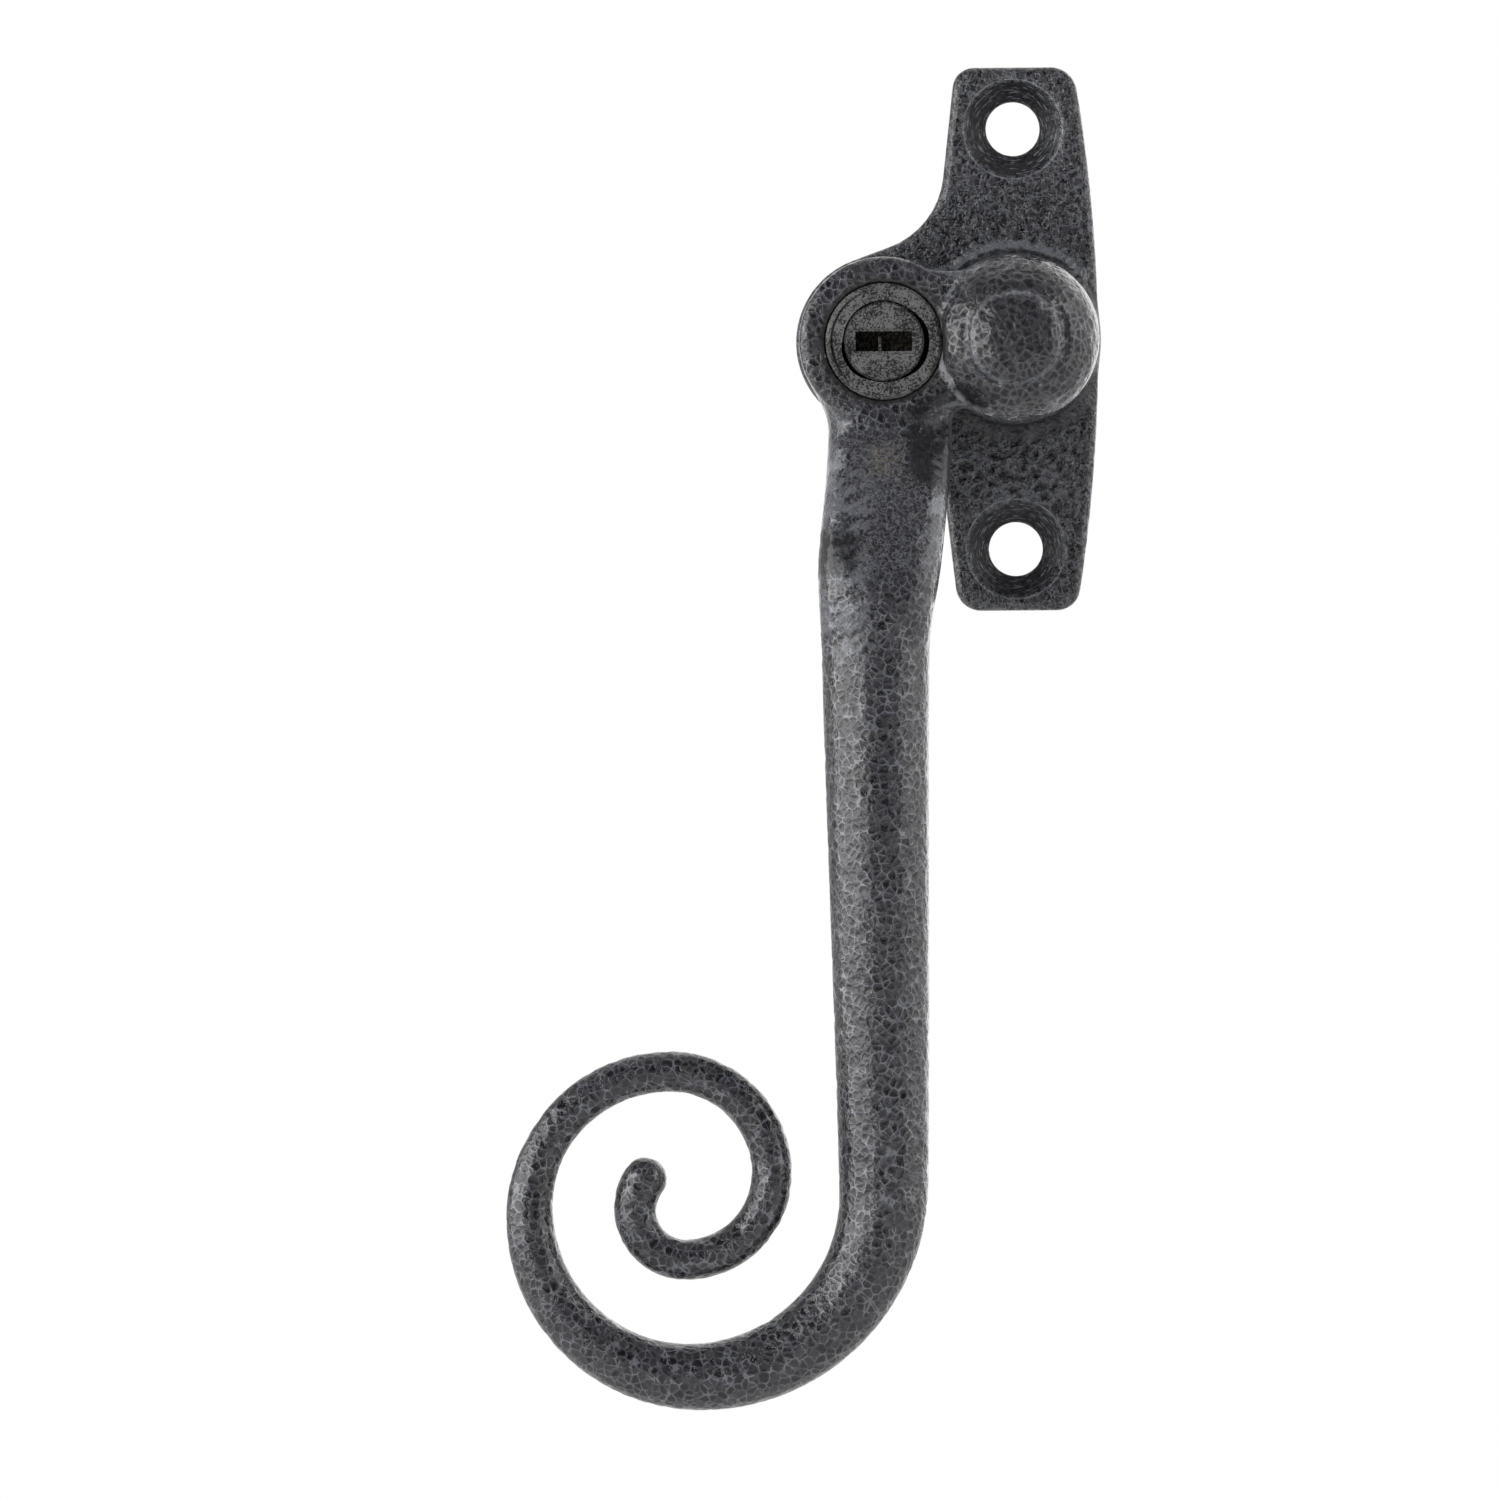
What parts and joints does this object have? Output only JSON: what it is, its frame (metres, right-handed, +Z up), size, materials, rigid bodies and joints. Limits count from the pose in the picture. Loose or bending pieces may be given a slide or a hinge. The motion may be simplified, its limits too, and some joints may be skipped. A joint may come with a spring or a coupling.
{
  "type": "casement window fastener",
  "caption": "Key-locking casement window handle: cranked lever with a scroll tail turning a square spindle, on a countersunk backplate, in a dark hammered finish.",
  "frame": {"origin": "on the pivot and spindle axis, at the plate's back face, midway between the two screw holes", "axes": "+Z up the plate, +X to the right seen from the room, +Y into the window, so the front faces -Y"},
  "size_m": [0.0615, 0.0604, 0.137],
  "materials": {
    "iron_plate": "dark grey hammered lacquer, fine grain",
    "iron_handle": "dark grey hammered lacquer, rounded cells",
    "lock_zinc": "matt dark grey, speckled",
    "steel": "bright zinc plate",
    "dark_steel": "blackened",
    "brass": "turned",
    "nylon": "moulded"
  },
  "bodies": {
    "plate": {"backplate": "iron_plate", "pivot_bush": "nylon", "thrust_washer": "steel"},
    "handle": {"handle": "iron_handle", "spindle": "steel", "spindle_grub_screw": "dark_steel", "wave_washer": "steel", "retaining_ring": "steel", "lock_barrel": "lock_zinc", "barrel_pin": "steel", "guide_bush": "brass"},
    "plug": {"lock_plug": "lock_zinc", "plug_clip": "steel", "wafer_springs": "steel"},
    "bolt": {"lock_bolt": "steel", "cam_pin": "dark_steel"},
    "wafer_1": {"wafer_1": "brass"},
    "wafer_2": {"wafer_2": "brass"},
    "wafer_3": {"wafer_3": "brass"},
    "wafer_4": {"wafer_4": "brass"}
  },
  "joints": [
    {"name": "handle_turn", "type": "hinge", "parent": "plate", "child": "handle", "pos_m": [0, 0, 0], "axis": [0, 1, 0], "range_deg": [0, 90]},
    {"name": "key_turn", "type": "hinge", "parent": "handle", "child": "plug", "pos_m": [-0.0134, -0.02, -0.00025], "axis": [0, 1, 0], "range_deg": [0, 90]},
    {"name": "bolt_throw", "type": "slide", "parent": "handle", "child": "bolt", "axis": [0, 1, 0], "range_m": [0, 0.002]},
    {"name": "wafer_1_slide", "type": "slide", "parent": "plug", "child": "wafer_1", "axis": [1, 0, 0], "range_m": [0, 0.0005], "stiffness_N_per_m": 200, "springref_m": 0.001, "deforming": ["wafer_springs"]},
    {"name": "wafer_2_slide", "type": "slide", "parent": "plug", "child": "wafer_2", "axis": [-1, 0, 0], "range_m": [0, 0.0005]},
    {"name": "wafer_3_slide", "type": "slide", "parent": "plug", "child": "wafer_3", "axis": [1, 0, 0], "range_m": [0, 0.0005]},
    {"name": "wafer_4_slide", "type": "slide", "parent": "plug", "child": "wafer_4", "axis": [-1, 0, 0], "range_m": [0, 0.0005]}
  ],
  "couplings": [
    {"joint": "key_turn", "follows": "bolt_throw", "rad_per_m": 785.39},
    {"joint": "wafer_2_slide", "follows": "wafer_1_slide", "ratio": 1},
    {"joint": "wafer_3_slide", "follows": "wafer_1_slide", "ratio": 1},
    {"joint": "wafer_4_slide", "follows": "wafer_1_slide", "ratio": 1}
  ]
}
